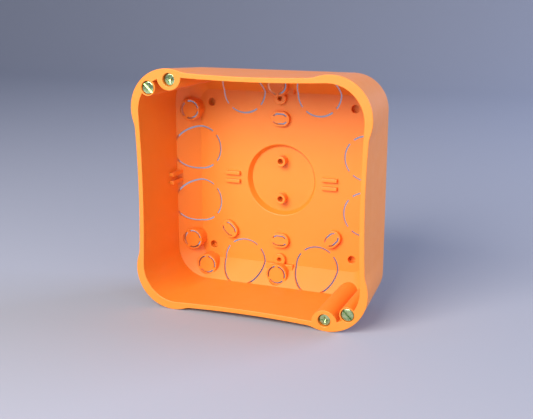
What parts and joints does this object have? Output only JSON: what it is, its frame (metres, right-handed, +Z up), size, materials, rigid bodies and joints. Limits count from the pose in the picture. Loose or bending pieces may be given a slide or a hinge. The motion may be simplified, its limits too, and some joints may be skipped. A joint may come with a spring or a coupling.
{
  "type": "flush back box",
  "caption": "Square moulded plastic wall box with lobed corners, slit knock-outs round a sloping back edge, and lid and clamp screws in opposite corners",
  "frame": {"origin": "middle of the bounding box at its lowest level, under the lower corner lobes", "axes": "+X to the right seen from the opening, +Y from the opening to the back, +Z up"},
  "size_m": [0.115, 0.05, 0.115],
  "materials": {
    "orange_plastic": "moulded, satin",
    "zinc_steel": "yellow passivated zinc"
  },
  "bodies": {
    "root": {"box_body": "orange_plastic", "lid_screws": "zinc_steel", "clamp_screws": "zinc_steel"}
  },
  "joints": []
}
